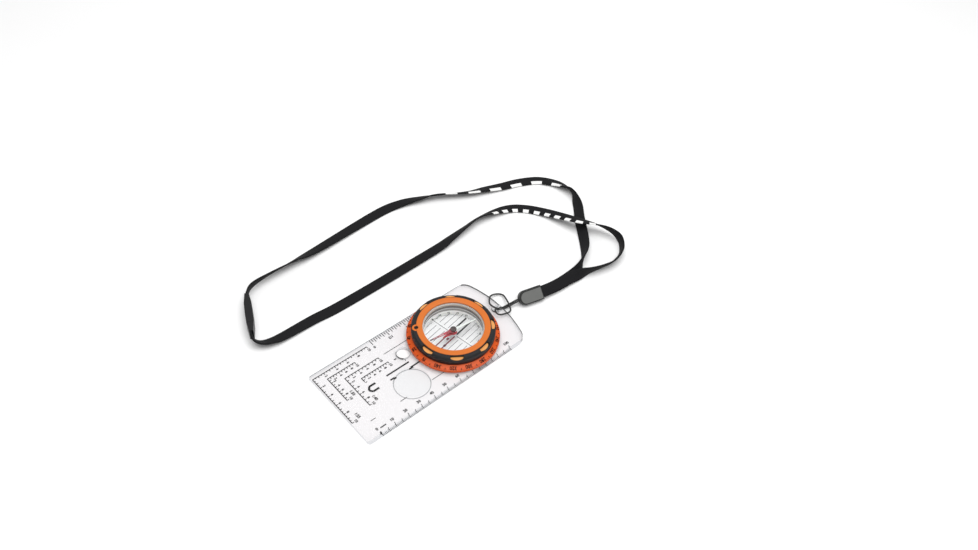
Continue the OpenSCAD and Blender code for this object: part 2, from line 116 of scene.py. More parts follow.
STRING = [
    (-0.0065, -0.0785, 0.004), (-0.0056, -0.0748, 0.0039), (-0.0043, -0.0705, 0.0026),
    (-0.0028, -0.066, 0.001), (-0.0021, -0.0634, 0.00065), (-0.0015, -0.0616, 0.001),
    (-0.00115, -0.0604, 0.0022), (-0.0012, -0.0592, 0.0037), (-0.0021, -0.0578, 0.0047),
    (-0.004, -0.0567, 0.0046), (-0.006, -0.0574, 0.0039), (-0.0073, -0.06, 0.0033),
    (-0.0082, -0.0654, 0.0033), (-0.0032, -0.0684, 0.0039), (0.0039, -0.0714, 0.0022),
    (0.007, -0.0718, 0.0013), (0.0092, -0.0698, 0.0013), (0.0099, -0.066, 0.0024),
    (0.009, -0.0629, 0.0031), (0.0054, -0.0594, 0.0036), (0.0029, -0.0585, 0.0041),
    (0.0012, -0.0592, 0.0034), (0.0006, -0.0608, 0.0017), (-0.0001, -0.0623, 0.00075),
    (-0.0009, -0.064, 0.00065), (-0.0017, -0.0664, 0.001), (-0.00325, -0.0709, 0.0029),
    (-0.00472, -0.075, 0.00462), (-0.00565, -0.0787, 0.00475),
]


# ---------------------------------------------------------------- camera
def add_camera():
    """A camera at the viewing angle of a hand-held picture, a little rolled."""
    azimuth, elevation, roll, distance = 224.955, 47.485, 4.86, 0.65856
    target = Vector((0.02523, -0.07675, 0.0012))
    a, e, r = (math.radians(v) for v in (azimuth, elevation, roll))
    back = Vector((math.sin(a) * math.cos(e), -math.cos(a) * math.cos(e), math.sin(e)))
    right = (-back).cross(Vector((0, 0, 1))).normalized()
    up = right.cross(-back)
    right, up = right * math.cos(r) + up * math.sin(r), up * math.cos(r) - right * math.sin(r)
    data = bpy.data.cameras.new("camera")
    data.sensor_width = 36
    data.lens = 36.37
    data.clip_start = 0.01
    camera = bpy.data.objects.new("camera", data)
    turn = Matrix((right, up, back)).transposed().to_4x4()
    camera.matrix_world = Matrix.Translation(target + back * distance) @ turn
    bpy.context.scene.collection.objects.link(camera)
    bpy.context.scene.camera = camera


# ---------------------------------------------------------------- materials
def shader_of(mat):
    """The material's node tree and its main shader."""
    return mat.node_tree, mat.node_tree.nodes["Principled BSDF"]


def new_material(name):
    mat = bpy.data.materials.new(name)
    mat.use_nodes = True
    return mat, *shader_of(mat)


def link(tree, a, b):
    tree.links.new(a, b)


def node_of(tree, kind, **values):
    """A new node, with its properties set."""
    made = tree.nodes.new(kind)
    for key, value in values.items():
        setattr(made, key, value)
    return made


def coordinates(tree, kind):
    """Texture coordinates of a kind, "Object" or "UV": the vector, then its X, Y and Z."""
    whole = node_of(tree, "ShaderNodeTexCoord").outputs[kind]
    split = node_of(tree, "ShaderNodeSeparateXYZ")
    link(tree, whole, split.inputs[0])
    return whole, *split.outputs


def maths(tree, operation, a, b=0.0):
    """A Math node; a and b are sockets or numbers."""
    made = node_of(tree, "ShaderNodeMath", operation=operation)
    for socket, value in zip(made.inputs, (a, b)):
        if isinstance(value, (int, float)):
            socket.default_value = value
        else:
            link(tree, value, socket)
    return made.outputs[0]


def blend_colour(tree, factor, a, b):
    """Colour a where factor is 0 and b where it is 1; a and b are sockets or colours."""
    made = node_of(tree, "ShaderNodeMix", data_type="RGBA")
    link(tree, factor, made.inputs["Factor"])
    for socket, value in ((made.inputs["A"], a), (made.inputs["B"], b)):
        if isinstance(value, tuple):
            socket.default_value = (*value, 1)
        else:
            link(tree, value, socket)
    return made.outputs["Result"]


def noise(tree, scale, detail=3, vector=None):
    """Noise about 0.5, in the piece's own space unless a vector is given."""
    made = node_of(tree, "ShaderNodeTexNoise")
    made.inputs["Scale"].default_value = scale
    made.inputs["Detail"].default_value = detail
    if vector is None:
        vector = node_of(tree, "ShaderNodeTexCoord").outputs["Object"]
    link(tree, vector, made.inputs["Vector"])
    return made.outputs["Fac"]


def remap(tree, value, low, high):
    """Spreads the part of a noise from 0.3 to 0.7 over low to high."""
    made = node_of(tree, "ShaderNodeMapRange")
    link(tree, value, made.inputs["Value"])
    for key, limit in (("From Min", 0.3), ("From Max", 0.7), ("To Min", low), ("To Max", high)):
        made.inputs[key].default_value = limit
    return made.outputs["Result"]


def ramp(tree, factor, stops):
    """Colour along stops, which are (place from 0 to 1, colour) in rising order."""
    made = node_of(tree, "ShaderNodeValToRGB")
    link(tree, factor, made.inputs[0])
    spots = made.color_ramp.elements
    while len(spots) < len(stops):
        spots.new(1)
    for spot, (place, colour) in zip(spots, stops):
        spot.position = place
        spot.color = (*colour, 1)
    return made.outputs[0]


def hypot(tree, a, b):
    return maths(tree, "SQRT", maths(tree, "ADD", maths(tree, "MULTIPLY", a, a),
                                     maths(tree, "MULTIPLY", b, b)))


def dot(tree, socket, axis):
    """How far a vector socket reaches along an axis."""
    made = node_of(tree, "ShaderNodeVectorMath", operation="DOT_PRODUCT")
    link(tree, socket, made.inputs[0])
    made.inputs[1].default_value = axis
    return made.outputs["Value"]


def from_dial_axis(tree):
    """Distance from the dial's axis and height, at rest, as sockets."""
    _, x, y, z = coordinates(tree, "Object")
    x, y = maths(tree, "SUBTRACT", x, DIAL.x), maths(tree, "SUBTRACT", y, DIAL.y)
    return hypot(tree, x, y), z


def recolour(tree, bsdf, where, colour):
    """Lays a colour over the base colour where the socket is 1."""
    base = bsdf.inputs["Base Color"]
    link(tree, blend_colour(tree, where, base.links[0].from_socket, colour), base)


def bump(tree, bsdf, height, strength, distance):
    made = node_of(tree, "ShaderNodeBump")
    made.inputs["Strength"].default_value = strength
    made.inputs["Distance"].default_value = distance
    link(tree, height, made.inputs["Height"])
    link(tree, made.outputs["Normal"], bsdf.inputs["Normal"])


def moulded(name, colour, roughness, grain=1500, depth=0.00002, metallic=0, sss=0, specular=0.5):
    """Moulded plastic, rubber or paint: fine grain, slightly uneven colour and gloss."""
    mat, tree, bsdf = new_material(name)
    bsdf.inputs["Metallic"].default_value = metallic
    bsdf.inputs["Specular IOR Level"].default_value = specular
    bsdf.inputs["Subsurface Weight"].default_value = sss
    bsdf.inputs["Subsurface Radius"].default_value = (0.002, 0.0008, 0.0004)
    dark = tuple(c * 0.86 for c in colour)
    link(tree, blend_colour(tree, noise(tree, 120), dark, colour), bsdf.inputs["Base Color"])
    link(tree, remap(tree, noise(tree, grain), roughness * 0.85, min(1, roughness * 1.15)),
         bsdf.inputs["Roughness"])
    bump(tree, bsdf, noise(tree, grain), 0.35, depth)
    return mat


def clear(name, tint, roughness=0.02, ior=1.49):
    """Clear plastic that lets the lamps through to what lies under it."""
    mat, tree, bsdf = new_material(name)
    bsdf.inputs["Base Color"].default_value = (*tint, 1)
    bsdf.inputs["Transmission Weight"].default_value = 1
    # Less shine than real acrylic has, since the lamp's reflection would hide the print
    bsdf.inputs["Specular IOR Level"].default_value = 0.25
    bsdf.inputs["IOR"].default_value = ior
    link(tree, remap(tree, noise(tree, 200), roughness * 0.5, roughness * 1.5),
         bsdf.inputs["Roughness"])
    bump(tree, bsdf, noise(tree, 90), 0.03, 0.00002)
    see = node_of(tree, "ShaderNodeBsdfTransparent")
    see.inputs["Color"].default_value = (*tint, 1)
    path = node_of(tree, "ShaderNodeLightPath")
    shown = bsdf.outputs[0]
    for ray in ("Is Diffuse Ray", "Is Shadow Ray"):
        mixed = node_of(tree, "ShaderNodeMixShader")
        link(tree, path.outputs[ray], mixed.inputs[0])
        link(tree, shown, mixed.inputs[1])
        link(tree, see.outputs[0], mixed.inputs[2])
        shown = mixed.outputs[0]
    link(tree, shown, tree.nodes["Material Output"].inputs["Surface"])
    return mat


def plate_material():
    """Clear acrylic that bends light only where it goes in through a flat face.

    Light that was bent in at a rim would stay inside, and the rim would look black. The lens's
    dome would show the lamp as a hard white patch. The upright faces carry a painted grey shade,
    and those facing -Y and +X a painted shade by the way they face, so that these two show as grey
    lines.
    """
    # The third colour is a painted grey shade for the upright rim faces.
    tint, dome_tint, rim_painted_shade = (0.937, 0.932, 0.936), (0.93, 0.935, 0.937), (0.84, 0.85, 0.86)
    mat = clear("plate_clear", tint)
    tree, _ = shader_of(mat)
    surface = node_of(tree, "ShaderNodeNewGeometry")
    normal, inside = surface.outputs["True Normal"], surface.outputs["Backfacing"]
    # Seen from inside the plate the normal is turned round, so it's turned back
    turned = maths(tree, "SUBTRACT", 1, maths(tree, "MULTIPLY", inside, 2))
    level = maths(tree, "ABSOLUTE", dot(tree, normal, (0, 0, 1)))
    upright = maths(tree, "LESS_THAN", level, UPRIGHT)
    sloping = maths(tree, "LESS_THAN", level, FLAT)
    # Painted shade by facing: faces towards +X are painted mid grey, faces towards -Y near black.
    for axis, shade in (((1, 0, 0), (0.62, 0.63, 0.64)), ((0, -1, 0), (0.12, 0.12, 0.125))):
        facing = maths(tree, "MULTIPLY", dot(tree, normal, axis), turned)
        rim_painted_shade = blend_colour(tree, maths(tree, "GREATER_THAN", facing, 0.5), rim_painted_shade, shade)
    straight = node_of(tree, "ShaderNodeBsdfTransparent")
    through = blend_colour(tree, sloping, tint, dome_tint)
    # Upright faces are seen through the painted rim shade, the others through the clear tint.
    link(tree, blend_colour(tree, upright, through, rim_painted_shade), straight.inputs[0])
    output = tree.nodes["Material Output"].inputs["Surface"]
    flat = output.links[0].from_socket
    mixed = node_of(tree, "ShaderNodeMixShader")
    link(tree, maths(tree, "MAXIMUM", sloping, inside), mixed.inputs[0])
    link(tree, flat, mixed.inputs[1])
    link(tree, straight.outputs[0], mixed.inputs[2])
    link(tree, mixed.outputs[0], output)
    return mat


def capsule_material():
    """Clear floor; the wall's inside is opaque and banded with painted reflection and shade in
    silvery grey, white, dark and cream, in place of the shine of a liquid capsule's wall.
    """
    # grey and white are colours of the painted reflection on the wall.
    tint, grey, white = (0.998, 0.999, 1), (0.5, 0.49, 0.48), (0.98, 0.98, 0.97)
    mat = clear("capsule_clear", tint, 0.01, 1.1)
    tree, bsdf = shader_of(mat)
    r, z = from_dial_axis(tree)
    wall = maths(tree, "GREATER_THAN", r, CUP_WALL_R)
    rise = maths(tree, "DIVIDE", maths(tree, "SUBTRACT", z, CUP_WALL_Z), CUP_WALL_RISE)
    # Painted reflection and shade by height up the wall: pale at its foot, grey, white, dark, and
    # at its top a cream painted reflection of the orange ring.
    painted_reflection_bands = ramp(tree, rise,
                 ((0, (0.95, 0.95, 0.93)), (0.16, grey), (0.28, grey), (0.34, white),
                  (0.46, white), (0.52, (0.2, 0.17, 0.16)), (0.8, (0.36, 0.32, 0.3)),
                  (0.88, (1, 0.85, 0.68))))
    link(tree, blend_colour(tree, wall, tint, painted_reflection_bands), bsdf.inputs["Base Color"])
    link(tree, maths(tree, "SUBTRACT", 1, wall), bsdf.inputs["Transmission Weight"])
    return mat


def dial_material():
    """Orange-red translucent plastic; the lip inside the bore, under the capsule, is painted pale,
    a painted light that brightens the capsule's inside.
    """
    mat = moulded("dial_red", (0.7, 0.095, 0.012), 0.3, 700, 0.00001, sss=0.05, specular=0.2)
    tree, bsdf = shader_of(mat)
    r, _ = from_dial_axis(tree)
    # Painted light: the lip under the capsule is painted near white to brighten the inside of the
    # capsule.
    recolour(tree, bsdf, maths(tree, "LESS_THAN", r, LIP_R), (0.9, 0.9, 0.88))
    return mat


def bezel_material():
    """Orange plastic; the lobes, which stand out beyond the top ring, are painted a paler orange
    as painted light, for their faces that catch the lamp.
    """
    mat = moulded("bezel_orange", (0.65, 0.165, 0.026), 0.33, 900, specular=0.2)
    tree, bsdf = shader_of(mat)
    r, z = from_dial_axis(tree)
    # Painted light: the lobes, below the top ring's level, are painted paler, as if lit from
    # above.
    painted_lobe_light = maths(tree, "MULTIPLY", maths(tree, "GREATER_THAN", r, LOBE_R),
                 maths(tree, "LESS_THAN", z, LOBE_TOP_Z))
    recolour(tree, bsdf, painted_lobe_light, (0.74, 0.33, 0.1))
    return mat


def ferrule_material():
    """Near-black shell; a panel set to one side on its raised upper face is painted lighter grey,
    a painted sheen where the lamp falls on that face.
    """
    # The grey base colour is the painted sheen of the raised panel; the rest is painted over near
    # black.
    mat = moulded("ferrule_painted_sheen", (0.13, 0.133, 0.127), 0.4)
    tree, bsdf = shader_of(mat)
    away = node_of(tree, "ShaderNodeVectorMath", operation="SUBTRACT")
    link(tree, node_of(tree, "ShaderNodeTexCoord").outputs["Object"], away.inputs[0])
    away.inputs[1].default_value = FERRULE_NOSE
    place = away.outputs[0]
    across = maths(tree, "ADD", dot(tree, place, FERRULE_ACROSS), PANEL_SIDE)
    # From the middle of the panel's round end; nothing behind that middle counts
    ahead = maths(tree, "SUBTRACT", PANEL_MIDDLE, dot(tree, place, FERRULE_LONG))
    ahead = maths(tree, "MAXIMUM", ahead, 0)
    inside = maths(tree, "LESS_THAN", hypot(tree, across, ahead), PANEL_R)
    raised = maths(tree, "GREATER_THAN", dot(tree, place, FERRULE_UP), PANEL_UP)
    # Outside the raised panel the shell is near black; inside it the painted sheen stays.
    shell = maths(tree, "SUBTRACT", 1, maths(tree, "MULTIPLY", inside, raised))
    recolour(tree, bsdf, shell, (0.012, 0.013, 0.012))
    return mat


def needle_material():
    """Red north half with a dark tip and a paler middle, white south half."""
    mat, tree, bsdf = new_material("needle_paint")
    angle = math.radians(90 - NEEDLE_TURN)
    heading = Vector((math.cos(angle), math.sin(angle), 0))
    where = node_of(tree, "ShaderNodeTexCoord").outputs["Object"]
    v = maths(tree, "SUBTRACT", dot(tree, where, heading), DIAL.dot(heading))
    north = maths(tree, "GREATER_THAN", v, 0)
    tip = maths(tree, "GREATER_THAN", v, NEEDLE_TIP)
    pale = maths(tree, "MULTIPLY", maths(tree, "GREATER_THAN", v, NEEDLE_PALE[0]),
                 maths(tree, "LESS_THAN", v, NEEDLE_PALE[1]))
    red = blend_colour(tree, pale, (0.27, 0.003, 0.016), (0.42, 0.012, 0.04))
    red = blend_colour(tree, tip, red, (0.05, 0.006, 0.015))
    both = blend_colour(tree, north, (0.72, 0.76, 0.73), red)
    worn = blend_colour(tree, remap(tree, noise(tree, 900), 0, 0.1), both, (0.3, 0.3, 0.3))
    link(tree, worn, bsdf.inputs["Base Color"])
    bsdf.inputs["Roughness"].default_value = 0.35
    bump(tree, bsdf, noise(tree, 2500), 0.2, 0.00001)
    return mat


def woven(name, marks):
    """Black woven ribbon with ribs across it and white printed blocks along one edge.

    The UVs hold centimetres along the ribbon and across it; the back has 2 added to V.
    """
    rib_step, warp_step = 0.055, 0.07
    mat, tree, bsdf = new_material(name)
    uv, u, v, _ = coordinates(tree, "UV")
    ribs = maths(tree, "SINE", maths(tree, "MULTIPLY", u, 2 * math.pi / rib_step))
    warps = maths(tree, "SINE", maths(tree, "MULTIPLY", v, 2 * math.pi / warp_step))
    weave = maths(tree, "MULTIPLY", ribs, warps)
    fuzz = noise(tree, 25, 4, uv)
    shade = maths(tree, "ADD", maths(tree, "MULTIPLY", weave, 0.25), fuzz)
    cloth = blend_colour(tree, shade, (0.004, 0.004, 0.005), (0.019, 0.019, 0.02))
    first, last, period, share = marks
    turns = maths(tree, "DIVIDE", maths(tree, "SUBTRACT", u, first), period)
    printed = maths(tree, "LESS_THAN", maths(tree, "FRACT", turns), share)
    for socket, low, high in ((u, first, last), (v, 0.12, 0.5)):
        printed = maths(tree, "MULTIPLY", printed, maths(tree, "GREATER_THAN", socket, low))
        printed = maths(tree, "MULTIPLY", printed, maths(tree, "LESS_THAN", socket, high))
    worn = maths(tree, "MULTIPLY", printed, remap(tree, fuzz, 0.8, 1))
    cloth = blend_colour(tree, worn, cloth, (0.93, 0.93, 0.92))
    link(tree, cloth, bsdf.inputs["Base Color"])
    bsdf.inputs["Roughness"].default_value = 0.75
    bsdf.inputs["Sheen Weight"].default_value = 0.02
    bsdf.inputs["Specular IOR Level"].default_value = 0.08
    bump(tree, bsdf, shade, 0.6, 0.00012)
    return mat


def braided(name):
    """Thin dark string with strands that wind round it both ways."""
    mat, tree, bsdf = new_material(name)
    _, x, y, _ = coordinates(tree, "UV")
    along = maths(tree, "MULTIPLY", x, 60)
    around = maths(tree, "MULTIPLY", y, 4 * math.pi)
    left, right = maths(tree, "ADD", along, around), maths(tree, "SUBTRACT", along, around)
    strands = maths(tree, "MULTIPLY", maths(tree, "SINE", left), maths(tree, "SINE", right))
    tone = maths(tree, "ADD", maths(tree, "MULTIPLY", strands, 0.4), 0.5)
    link(tree, blend_colour(tree, tone, (0.008, 0.008, 0.008), (0.05, 0.05, 0.05)),
         bsdf.inputs["Base Color"])
    bsdf.inputs["Roughness"].default_value = 0.7
    bump(tree, bsdf, strands, 0.5, 0.0001)
    return mat


def floor_material():
    mat, tree, bsdf = new_material("floor")
    link(tree, blend_colour(tree, noise(tree, 6), (0.9, 0.9, 0.9), (0.93, 0.93, 0.93)),
         bsdf.inputs["Base Color"])
    bsdf.inputs["Roughness"].default_value = 0.8
    return mat


# ---------------------------------------------------------------- meshes
def add_mesh(name, points, faces, material, body, uvs=None, smooth=False):
    """A new piece on a body, with its material and the record's slot."""
    mesh = bpy.data.meshes.new(name)
    mesh.from_pydata(points, [], faces)
    mesh.materials.append(material)
    if uvs:
        layer = mesh.uv_layers.new(name="lay")
        corners = [uv for face in uvs for uv in face]
        for corner, uv in zip(layer.data, corners):
            corner.uv = uv
    mesh.polygons.foreach_set("use_smooth", [smooth] * len(mesh.polygons))
    mesh.validate()
    piece = bpy.data.objects.new(name, mesh)
    bpy.context.scene.collection.objects.link(piece)
    if body:
        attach(piece, body)
    return piece


def smoothed(points):
    """A smooth curve through the points (Catmull-Rom), in SMOOTH_STEPS steps between each two."""
    rows = [Vector(p) for p in points]
    out = []
    for i in range(len(rows) - 1):
        p0, p1, p2 = rows[max(i - 1, 0)], rows[i], rows[i + 1]
        p3 = rows[min(i + 2, len(rows) - 1)]
        for k in range(SMOOTH_STEPS):
            t = k / SMOOTH_STEPS
            out.append(0.5 * (2 * p1 + (p2 - p0) * t + (2 * p0 - 5 * p1 + 4 * p2 - p3) * t * t
                              + (3 * p1 - p0 - 3 * p2 + p3) * t ** 3))
    return out + [rows[-1]]


def headings(points):
    """Which way a path runs at each of its points."""
    last = len(points) - 1
    return [(points[min(i + 1, last)] - points[max(i - 1, 0)]).normalized()
            for i in range(last + 1)]


def lengths(points):
    """How far along a path each of its points lies."""
    out = [0.0]
    for a, b in zip(points, points[1:]):
        out.append(out[-1] + (b - a).length)
    return out


def sweep(name, places, sides, section, uv_of, material, body):
    """A closed section carried along places; sides are its first axis at each place.

    uv_of gives V at both ends of a stretch of the section. U is centimetres along the path.
    """
    points = []
    for place, along, side in zip(places, headings(places), sides):
        side = (side - along * side.dot(along)).normalized()
        up = along.cross(side)
        points += [place + side * s + up * h for s, h in section]
    n, faces, uvs = len(section), [], []
    far = lengths(places)
    for i in range(len(places) - 1):
        for k in range(n):
            m = (k + 1) % n
            faces.append((i * n + k, (i + 1) * n + k, (i + 1) * n + m, i * n + m))
            a, b = uv_of(k)
            start, end = far[i] / CM, far[i + 1] / CM
            uvs.append(((start, a), (end, a), (end, b), (start, b)))
    last = (len(places) - 1) * n
    faces += [tuple(range(n)), tuple(last + k for k in reversed(range(n)))]
    uvs += [((0, 1),) * n, ((0, 1),) * n]
    return add_mesh(name, points, faces, material, body, uvs, smooth=True)


def ribbon(name, route, material, body):
    """A ribbon and its path; it lies flat where the tilt is 0, stands on an edge where it's 90."""
    places, sides = [], []
    rows = smoothed(route)
    for x, y, tilt, lift in rows:
        tilt = math.radians(tilt)
        rest = (RIBBON_W * abs(math.sin(tilt)) + RIBBON_T * abs(math.cos(tilt))) / 2
        places.append(Vector((x, y, rest + max(lift, 0))))
    for along, row in zip(headings(places), rows):
        flat = Vector((along.x, along.y, 0)).normalized()
        tilt = math.radians(row[2])
        sides.append(Vector((-flat.y, flat.x, 0)) * math.cos(tilt)
                     + Vector((0, 0, 1)) * math.sin(tilt))
    w, t, cut = RIBBON_W / 2, RIBBON_T / 2, RIBBON_CORNER
    across = [w - cut, w / 3, -w / 3, -w + cut]
    front = [(s, t) for s in across]
    back = [(-s, -t) for s in across]
    section = front + [(-w, t - cut), (-w, -t + cut)] + back + [(w, -t + cut), (w, t - cut)]

    def uv_of(k):
        """Stretches 0 to 2 are the front and 6 to 8 the back; the blocks print over one edge."""
        if k < 3:
            return section[k][0] / CM, section[k + 1][0] / CM
        if 6 <= k < 9:
            return 2 + section[k][0] / CM, 2 + section[k + 1][0] / CM
        return (0.39, 0.39) if k > 8 else (1.0, 1.05)

    return sweep(name, places, sides, section, uv_of, material, body), places


def string_tube():
    """The string and its path."""
    places = smoothed(STRING)
    turns = [2 * math.pi * k / STRING_SIDES for k in range(STRING_SIDES)]
    section = [(STRING_R * math.cos(t), STRING_R * math.sin(t)) for t in turns]
    sides = [Vector((0.05, 0.05, 1))] * len(places)
    tube = sweep("string", places, sides, section,
                 lambda k: (k / STRING_SIDES, (k + 1) / STRING_SIDES), braided("string_braid"),
                 "root")
    return tube, places


# ---------------------------------------------------------------- ink: prints of flat faces
glyph_cache = {}


def glyph_mesh(text):
    """Points and faces of a line of figures, one unit high, centred on the origin."""
    if text not in glyph_cache:
        curve = bpy.data.curves.new("figures", "FONT")
        curve.body = text
        curve.align_x, curve.align_y = "CENTER", "CENTER"
        curve.resolution_u = 2
        curve.offset = 0.03
        holder = bpy.data.objects.new("figures", curve)
        bpy.context.scene.collection.objects.link(holder)
        mesh = holder.evaluated_get(bpy.context.evaluated_depsgraph_get()).to_mesh()
        points = [(p.co.x, p.co.y) for p in mesh.vertices]
        faces = [tuple(f.vertices) for f in mesh.polygons]
        bpy.data.objects.remove(holder)
        bpy.data.curves.remove(curve)
        glyph_cache[text] = points, faces
    return glyph_cache[text]


class Ink:
    """Flat print, gathered in plan millimetres and made into one piece.

    place turns the coordinates that are drawn in into plan ones.
    """

    def __init__(self, place=lambda x, y: (x, y)):
        self.place, self.points, self.faces = place, [], []

    def add(self, points, faces):
        start = len(self.points)
        self.points += [self.place(x, y) for x, y in points]
        self.faces += [tuple(start + i for i in face) for face in faces]

    def bar(self, a, b, width):
        along = (Vector(b) - Vector(a)).normalized()
        side = Vector((-along.y, along.x)) * width / 2
        corners = [Vector(a) - side, Vector(b) - side, Vector(b) + side, Vector(a) + side]
        self.add([tuple(c) for c in corners], [(0, 1, 2, 3)])

    def figures(self, text, at, height, turn=0):
        points, faces = glyph_mesh(text)
        c, s = math.cos(math.radians(turn)), math.sin(math.radians(turn))
        self.add([(at[0] + height * (c * x - s * y), at[1] + height * (s * x + c * y))
                  for x, y in points], faces)

    def ring(self, centre, radius, width):
        steps = 96
        turns = [math.radians(360 * i / steps) for i in range(steps + 1)]
        points = [(centre[0] + r * math.cos(t), centre[1] + r * math.sin(t))
                  for t in turns for r in (radius - width / 2, radius + width / 2)]
        self.add(points, [(2 * i, 2 * i + 1, 2 * i + 3, 2 * i + 2) for i in range(steps)])

    def build(self, name, height, material, body):
        """height is a number or a function of x and y, in metres."""
        level = height if callable(height) else lambda x, y: height
        points = [(x * MM, y * MM, level(x * MM, y * MM)) for x, y in self.points]
        return add_mesh(name, points, self.faces, material, body)


def on_dial(u, v):
    """Plan place of a point on the dial, v towards its north and u towards its east."""
    north = math.radians(DIAL_NORTH)
    n = (math.cos(north), math.sin(north))
    return DIAL.x / MM + u * n[1] + v * n[0], DIAL.y / MM - u * n[0] + v * n[1]


def millimetre_ruler(ink):
    """Ruler along the -X side, with two short bars beside it."""
    edge, zero, count = -30.4, 53.4, 100
    for i in range(count + 1):
        long = 3.2 if i % 10 == 0 else 2.5 if i % 5 == 0 else 1.5
        ink.bar((edge, zero - i), (edge + long, zero - i), 0.36 if i % 5 == 0 else 0.22)
    for i in range(10, count + 1, 10):
        ink.figures(str(i), (edge + 5.4, zero - i), 2.6, -90)
    ink.figures("0", (edge + 5.6, zero + 0.8), 2.8, -90)
    ink.bar((-25.3, 52), (-25.3, 47.9), 0.7)
    ink.bar((-28.1, 54.3), (-28.1, 53.2), 1.1)


def inch_scale(ink):
    """Sixteenths of an inch along the +X side, longer at eighths and halves."""
    edge, zero, end, inch = 30.3, 18.55, -14, 25.4
    step = inch / 16
    for i in range(int((zero - end) / step) + 1):
        long = 4.2 if i % 8 == 0 else 3.2 if i % 2 == 0 else 2.2
        ink.bar((edge, zero - i * step), (edge - long, zero - i * step), 0.4)
    for i, figures in enumerate(("0", "1/2", "1")):
        ink.figures(figures, (edge - 6, zero - i * inch / 2 + 0.3), 2.6, 90)


def romer(ink, corner, legs, step, label):
    """Two ruled legs from a corner, back along the plate and across it, with figures.

    A tick stands at each step, and at each half step if the steps are wide.
    """
    thick, tick, half_tick = 0.5, 1.3, 0.8
    x, y = corner
    ink.bar((x + thick / 2, y), (x - legs[0], y), thick)
    ink.bar((x, y + thick / 2), (x, y - legs[1]), thick)
    for leg, (dx, dy) in zip(legs, ((-1, 0), (0, -1))):
        parts = 2 if step >= 4 else 1
        for i in range(1, round(parts * leg / step) + 1):
            far = i * step / parts
            long = tick if i % parts == 0 else half_tick
            a = (x + dx * far, y + dy * far)
            ink.bar(a, (a[0] + dy * long, a[1] + dx * long), 0.45)
            if i % (2 * parts) == 0 and leg > step * 3:
                ink.figures(str(i // parts), (a[0] + dy * 2.7, a[1] + dx * 2.7), 2.4, 180)
    if label:
        ink.figures(label, (x - legs[0] + 2.5, y - 5.6), 2.6, 180)


def travel_marks(ink):
    """The bold sighting lines, the thin parallel lines, the arrow head and two small dashes."""
    for x, start, stop, width in ((2, 26.65, 9.45, 1), (-2, 26.75, 22.25, 1),
                                  (-2, 12.45, 4.35, 1), (16.2, 17.95, -6, 0.35),
                                  (-17.6, 7.25, -6, 0.35), (-18, 31.6, 26.7, 0.35),
                                  (-18, 53.6, 49.9, 0.35)):
        ink.bar((x, start), (x, stop), width)
    for a, b in (((2.1, 35), (2.2, 39.6)), ((2.2, 39.5), (0, 41.2)),
                 ((0, 41.2), (-2.1, 39.7)), ((-2.1, 39.7), (-2.1, 35.3))):
        ink.bar(a, b, 1.3)
    ink.bar((8.9, 15.6), (8.7, 14), 0.7)
    ink.bar((5.2, 10.3), (3.8, 10.5), 0.4)


def plate_prints(black, grey):
    """The prints under the plate, and fine grey lines of painted shade round the lens and the
    marking hole, standing for their edges.
    """
    ink = Ink()
    millimetre_ruler(ink)
    inch_scale(ink)
    for corner, legs, step, label in (((27.5, 62.75), (40, 40), 4, "1:25"),
                                      ((22.4, 55.55), (20, 20), 2, "1:50"),
                                      ((16.2, 47.25), (25, 25), 2.5, "1:40"),
                                      ((10, 39.5), (3.3, 20), 2, "")):
        romer(ink, corner, legs, step, label)
    travel_marks(ink)
    ink.build("plate_print", PLATE_INK_Z, black, "root")
    # Painted shade: grey rings where the edges of the lens and of the marking hole look dark.
    rim = Ink()
    rim.ring((-12, 18), 11.35, 0.45)
    rim.ring((9, 8.5), 4.55, 0.16)
    rim.build("lens_edge_painted_shade", PLATE_INK_Z, grey, "root")


def skirt_height(x, y):
    """Height of the print on the dial's sloping skirt."""
    r = math.hypot(x - DIAL.x, y - DIAL.y)
    share = (SKIRT_R - r) / (SKIRT_R - SKIRT_SLOPE_R)
    return SKIRT_EDGE_Z + share * (SKIRT_TOP_Z - SKIRT_EDGE_Z) + INK_LIFT


def dial_degrees(ink):
    """Marks each two degrees, longer each ten, and figures each twenty, with N at north."""
    outer, figures_r = 29.3, 27.75
    for degree in range(0, 360, 2):
        a = math.radians(degree)
        inner, width = (28.1, 0.5) if degree % 10 == 0 else (28.7, 0.18)
        ink.bar((inner * math.sin(a), inner * math.cos(a)),
                (outer * math.sin(a), outer * math.cos(a)), width)
    for degree in range(0, 360, 20):
        a = math.radians(degree)
        ink.figures("N" if degree == 0 else str(degree),
                    (figures_r * math.sin(a), figures_r * math.cos(a)), 3, -degree)


def dial_prints(black):
    ink = Ink(on_dial)
    dial_degrees(ink)
    ink.build("dial_degrees", skirt_height, black, "dial")


def orienting_lines(black, red):
    """Thin meridian lines, the cross line, the bold lines to the south, the red to the north."""
    thin = Ink(on_dial)
    for u in (-16, -12.5, -9, -5.5, 5.5, 9, 12.5, 16):
        reach = math.sqrt(17.4 ** 2 - u * u)
        thin.bar((u, -reach), (u, -1.6), 0.3)
        thin.bar((u, 1.6), (u, reach), 0.3)
    for side in (-1, 1):
        thin.bar((side * 3, 0), (side * 17.5, 0), 0.36)
        thin.bar((side * 2, -1), (side * 2, -15.3), 1.15)
    thin.build("orienting_lines", ORIENTING_Z + INK_LIFT, black, "orienting")
    north = Ink(on_dial)
    for side in (-1, 1):
        north.bar((side * 2, 1), (side * 2, 15.3), 0.8)
    north.bar((-2, 9.8), (-2, 11.4), 1.5)
    north.bar((0, 4.4), (0, 6.2), 1.3)
    north.build("north_lines", ORIENTING_Z + INK_LIFT, red, "orienting")


